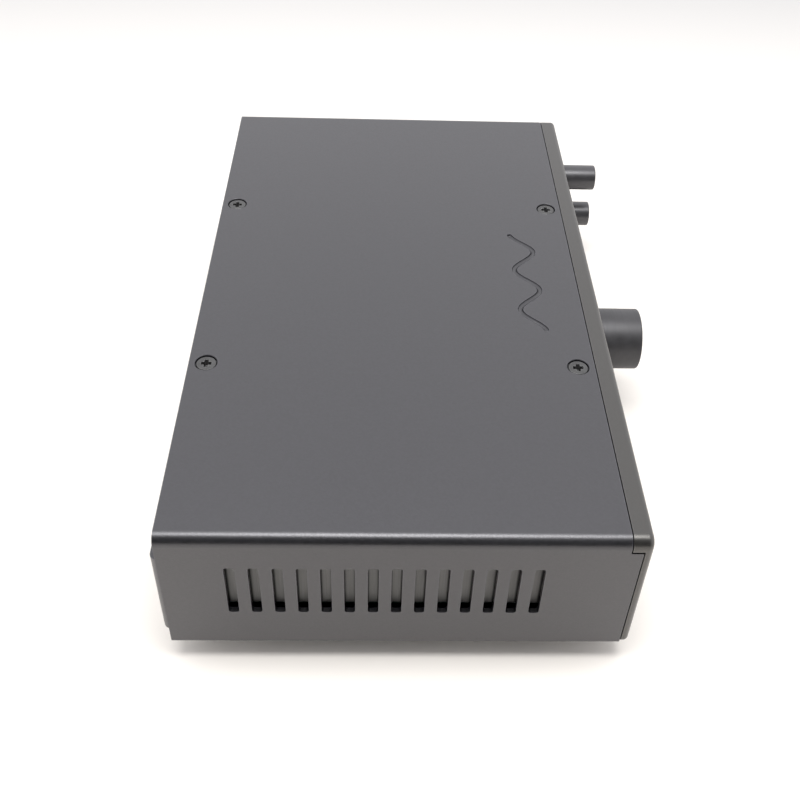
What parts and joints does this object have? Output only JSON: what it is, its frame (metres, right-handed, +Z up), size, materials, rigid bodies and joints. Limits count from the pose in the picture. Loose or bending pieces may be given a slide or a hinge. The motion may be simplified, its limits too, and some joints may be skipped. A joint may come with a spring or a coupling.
{
  "type": "desktop digital-to-analogue converter",
  "caption": "Half-width desktop audio converter: folded vented cover, front panel with turning push knobs, buttons, display and jacks, rear panel of audio and data sockets.",
  "frame": {"origin": "centre of the overall box, on the surface that the feet stand on", "axes": "+Z up, front panel facing -Y, +X to the right seen from the front"},
  "size_m": [0.215, 0.1492, 0.052],
  "materials": {
    "black_powder_coat": "satin fine-texture powder coat",
    "panel_coat": "satin anodised and coated",
    "bare_steel": "bare zinc-plated sheet",
    "black_steel": "black oxide",
    "knob_metal": "matt black anodised",
    "board_green": "glass-fibre circuit board",
    "black_plastic": "moulded",
    "button_plastic": "moulded, satin",
    "display_glass": "clear dark window",
    "socket_metal": "nickel plated",
    "foot_rubber": "moulded",
    "ribbon_grey": "flat cable"
  },
  "bodies": {
    "chassis": {"top_cover": "black_powder_coat", "front_panel": "panel_coat", "bottom_tray": "bare_steel", "rear_panel": "black_powder_coat", "side_shield_left": "bare_steel", "side_shield_right": "bare_steel", "cover_screw_front_left": "black_steel", "cover_screw_front_right": "black_steel", "cover_screw_rear_left": "black_steel", "cover_screw_rear_right": "black_steel", "foot_front_left": "foot_rubber", "foot_front_right": "foot_rubber", "foot_rear_left": "foot_rubber", "foot_rear_right": "foot_rubber", "board_screw_front_left": "bare_steel", "board_screw_front_right": "bare_steel", "board_screw_rear_left": "bare_steel", "board_screw_rear_right": "bare_steel", "main_board": "board_green", "front_board": "board_green", "ribbon_cable": "ribbon_grey", "processor_chip": "black_plastic", "converter_chip": "black_plastic", "display_window": "display_glass", "display_module": "black_plastic", "power_switch": "black_plastic", "menu_switch_upper_left": "black_plastic", "menu_switch_lower_left": "black_plastic", "menu_switch_upper_right": "black_plastic", "menu_switch_lower_right": "black_plastic", "volume_encoder": "bare_steel", "upper_encoder": "bare_steel", "lower_encoder": "bare_steel", "headphone_jack": "black_plastic", "headphone_nut": "bare_steel", "earphone_jack": "black_plastic", "xlr_output_right": "black_plastic", "xlr_output_left": "black_plastic", "line_output_right": "socket_metal", "line_output_left": "socket_metal", "coaxial_input": "socket_metal", "optical_port": "black_plastic", "usb_port": "socket_metal", "dc_jack": "black_plastic"},
    "volume_press": {"volume_press_disc": "black_plastic"},
    "volume_turn": {"volume_shaft": "bare_steel", "volume_knob": "knob_metal"},
    "upper_press": {"upper_press_disc": "black_plastic"},
    "upper_turn": {"upper_shaft": "bare_steel", "upper_knob": "knob_metal"},
    "lower_press": {"lower_press_disc": "black_plastic"},
    "lower_turn": {"lower_shaft": "bare_steel", "lower_knob": "knob_metal"},
    "power_button": {"power_button": "button_plastic"},
    "menu_button_upper_left": {"menu_button_upper_left": "button_plastic"},
    "menu_button_lower_left": {"menu_button_lower_left": "button_plastic"},
    "menu_button_upper_right": {"menu_button_upper_right": "button_plastic"},
    "menu_button_lower_right": {"menu_button_lower_right": "button_plastic"},
    "optical_shutter": {"optical_shutter": "black_plastic"}
  },
  "joints": [
    {"name": "volume_push", "type": "slide", "parent": "chassis", "child": "volume_press", "axis": [0, 1, 0], "range_m": [0, 0.0006], "stiffness_N_per_m": 1500, "springref_m": -0.0004},
    {"name": "volume_rotate", "type": "hinge", "parent": "volume_press", "child": "volume_turn", "pos_m": [-0.002, -0.05695, 0.029], "axis": [0, 1, 0], "continuous": true},
    {"name": "upper_push", "type": "slide", "parent": "chassis", "child": "upper_press", "axis": [0, 1, 0], "range_m": [0, 0.0006], "stiffness_N_per_m": 1500, "springref_m": -0.0004},
    {"name": "upper_rotate", "type": "hinge", "parent": "upper_press", "child": "upper_turn", "pos_m": [0.0872, -0.05695, 0.0376], "axis": [0, 1, 0], "continuous": true},
    {"name": "lower_push", "type": "slide", "parent": "chassis", "child": "lower_press", "axis": [0, 1, 0], "range_m": [0, 0.0006], "stiffness_N_per_m": 1500, "springref_m": -0.0004},
    {"name": "lower_rotate", "type": "hinge", "parent": "lower_press", "child": "lower_turn", "pos_m": [0.0872, -0.05695, 0.0204], "axis": [0, 1, 0], "continuous": true},
    {"name": "power_push", "type": "slide", "parent": "chassis", "child": "power_button", "axis": [0, 1, 0], "range_m": [0, 0.0006], "stiffness_N_per_m": 1500, "springref_m": -0.0004},
    {"name": "upper_left_push", "type": "slide", "parent": "chassis", "child": "menu_button_upper_left", "axis": [0, 1, 0], "range_m": [0, 0.0006], "stiffness_N_per_m": 1500, "springref_m": -0.0004},
    {"name": "lower_left_push", "type": "slide", "parent": "chassis", "child": "menu_button_lower_left", "axis": [0, 1, 0], "range_m": [0, 0.0006], "stiffness_N_per_m": 1500, "springref_m": -0.0004},
    {"name": "upper_right_push", "type": "slide", "parent": "chassis", "child": "menu_button_upper_right", "axis": [0, 1, 0], "range_m": [0, 0.0006], "stiffness_N_per_m": 1500, "springref_m": -0.0004},
    {"name": "lower_right_push", "type": "slide", "parent": "chassis", "child": "menu_button_lower_right", "axis": [0, 1, 0], "range_m": [0, 0.0006], "stiffness_N_per_m": 1500, "springref_m": -0.0004},
    {"name": "shutter_swing", "type": "hinge", "parent": "chassis", "child": "optical_shutter", "pos_m": [-0.018, 0.06835, 0.0236], "axis": [-1, 0, 0], "range_deg": [0, 80], "stiffness_Nm_per_rad": 0.0004, "springref_deg": -20.05}
  ]
}
